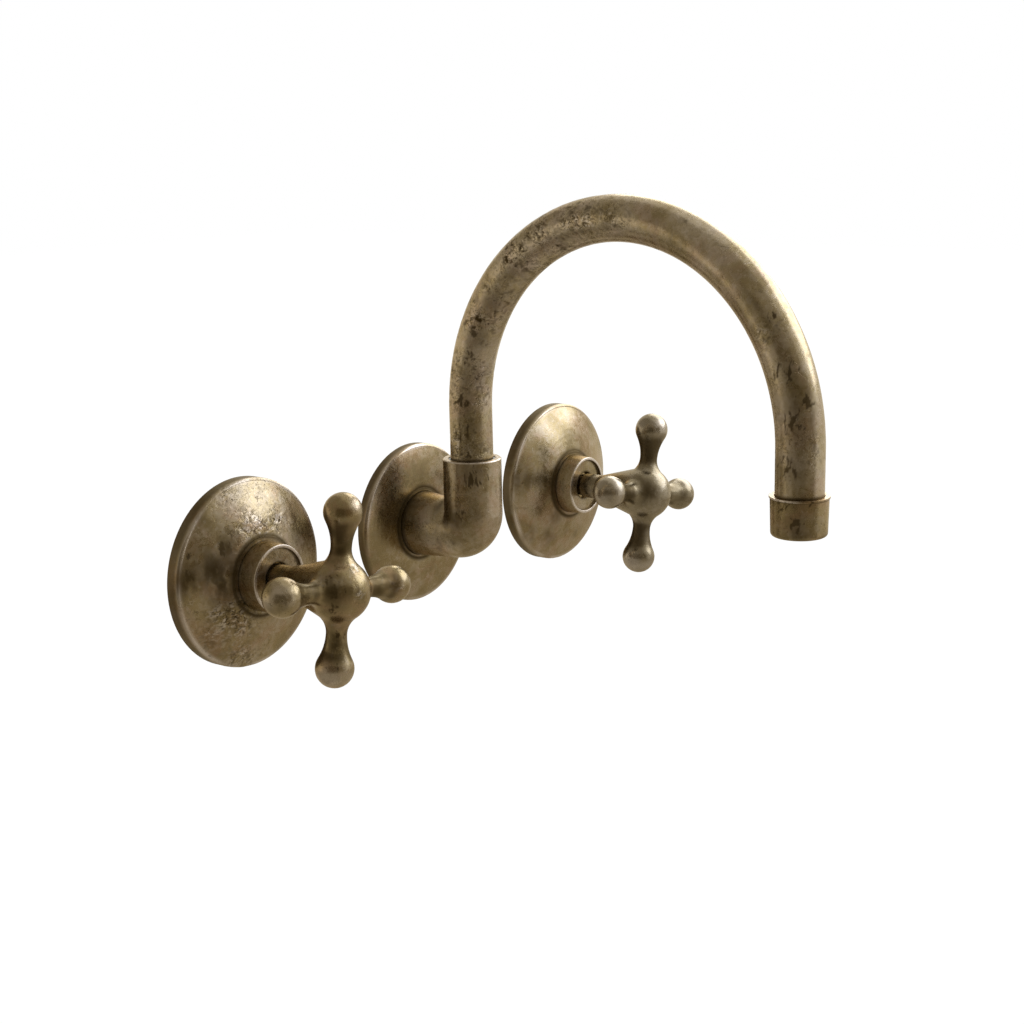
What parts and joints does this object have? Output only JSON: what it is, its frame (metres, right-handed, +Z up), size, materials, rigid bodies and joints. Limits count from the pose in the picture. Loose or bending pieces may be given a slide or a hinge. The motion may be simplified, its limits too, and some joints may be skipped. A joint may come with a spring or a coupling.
{
  "type": "wall-mounted faucet",
  "caption": "Wall-mounted basin faucet in aged brass: hot and cold cross-handle taps on conical cover plates beside an elbow with a swivelling arched spout and aerator.",
  "frame": {"origin": "on the finished wall's plane, on the axis of the spout's inlet", "axes": "+Y into the wall (the room is on the -Y side), +X along the wall towards the cold tap, +Z up"},
  "size_m": [0.2778, 0.2257, 0.1786],
  "materials": {
    "aged_brass": "aged: brown patina, satin, fine scratches",
    "turned_brass": "machined, uncoated",
    "rubber": "matte moulded",
    "fibre": "pressed fibre",
    "packing": "pressed white packing",
    "acetal": "turned plastic",
    "steel": "stainless"
  },
  "bodies": {
    "wall_set": {"cold_body_washer": "fibre", "cold_bonnet": "turned_brass", "cold_escutcheon": "aged_brass", "cold_gland_nut": "turned_brass", "cold_gland_packing": "packing", "cold_sleeve_nut": "aged_brass", "escutcheon_ring": "rubber", "hot_body_washer": "fibre", "hot_bonnet": "turned_brass", "hot_escutcheon": "aged_brass", "hot_gland_nut": "turned_brass", "hot_gland_packing": "packing", "hot_sleeve_nut": "aged_brass", "inlet_nipple": "turned_brass", "spout_elbow": "aged_brass", "spout_escutcheon": "aged_brass", "swivel_bush": "acetal", "swivel_screw": "steel", "swivel_seals": "rubber"},
    "spout": {"aerator_collar": "aged_brass", "aerator_insert": "acetal", "aerator_screen": "steel", "aerator_washer": "rubber", "spout_spigot": "turned_brass", "spout_tube": "aged_brass"},
    "hot_valve": {"hot_jumper_nut": "turned_brass", "hot_jumper_valve": "turned_brass", "hot_jumper_washer": "rubber"},
    "hot_handle": {"hot_cross_handle": "aged_brass", "hot_handle_screw": "steel", "hot_spindle": "turned_brass"},
    "cold_valve": {"cold_jumper_nut": "turned_brass", "cold_jumper_valve": "turned_brass", "cold_jumper_washer": "rubber"},
    "cold_handle": {"cold_cross_handle": "aged_brass", "cold_handle_screw": "steel", "cold_spindle": "turned_brass"}
  },
  "joints": [
    {"name": "spout_swivel", "type": "hinge", "parent": "wall_set", "child": "spout", "pos_m": [0, -0.035, 0.02], "axis": [0, 0, 1], "range_deg": [-86.5, 93.5]},
    {"name": "hot_valve_lift", "type": "slide", "parent": "wall_set", "child": "hot_valve", "axis": [0, -1, 0], "range_m": [0, 0.003]},
    {"name": "hot_handle_turn", "type": "hinge", "parent": "hot_valve", "child": "hot_handle", "pos_m": [-0.1016, -0.04, 0], "axis": [0, -1, 0], "range_deg": [0, 432]},
    {"name": "cold_valve_lift", "type": "slide", "parent": "wall_set", "child": "cold_valve", "axis": [0, -1, 0], "range_m": [-0.002, 0.001]},
    {"name": "cold_handle_turn", "type": "hinge", "parent": "cold_valve", "child": "cold_handle", "pos_m": [0.1016, -0.04, 0], "axis": [0, -1, 0], "range_deg": [-288, 144]}
  ],
  "couplings": [
    {"joint": "hot_valve_lift", "follows": "hot_handle_turn", "m_per_rad": 0.00039788},
    {"joint": "cold_valve_lift", "follows": "cold_handle_turn", "m_per_rad": 0.00039788}
  ]
}
